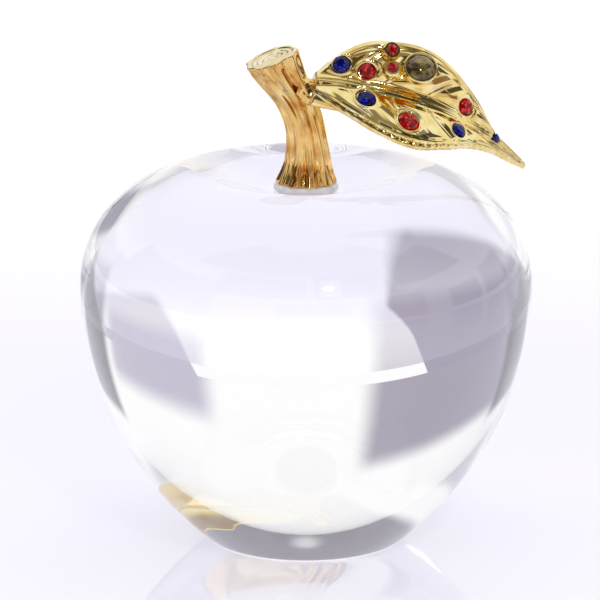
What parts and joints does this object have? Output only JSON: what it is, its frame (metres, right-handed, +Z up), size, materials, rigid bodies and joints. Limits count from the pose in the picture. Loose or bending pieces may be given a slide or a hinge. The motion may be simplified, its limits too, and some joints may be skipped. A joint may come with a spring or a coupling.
{
  "type": "glass apple ornament",
  "caption": "Solid clear glass apple with a gold-plated bark stem and one arched leaf set with small red and blue stones, as a desk or shelf ornament.",
  "frame": {"origin": "centre of the glass base's flat, on the apple's axis", "axes": "+Z up along the apple's axis, -Y towards the viewer of the picture, +X to the right where the leaf points"},
  "size_m": [0.08, 0.08, 0.0901],
  "materials": {
    "crystal": "polished clear lead-free crystal",
    "gold_plate": "polished gold plate over a cast alloy",
    "dark_cabochon": "polished dark brown glass",
    "red_stone": "faceted red glass with a foiled back",
    "blue_stone": "faceted blue glass with a foiled back",
    "clear_adhesive": "cured clear adhesive",
    "solder": "gold-toned solder"
  },
  "bodies": {
    "root": {"glass_body": "crystal", "stem": "gold_plate", "leaf": "gold_plate", "dome_bezel": "gold_plate", "upper_collet": "gold_plate", "lower_collet": "gold_plate", "dome_cabochon": "dark_cabochon", "blue_stone_1": "blue_stone", "blue_stone_2": "blue_stone", "blue_stone_3": "blue_stone", "blue_stone_4": "blue_stone", "red_stone_1": "red_stone", "red_stone_2": "red_stone", "red_stone_3": "red_stone", "red_stone_4": "red_stone", "red_stone_5": "red_stone", "stem_adhesive": "clear_adhesive", "leaf_solder": "solder", "stone_adhesive": "clear_adhesive"}
  },
  "joints": []
}
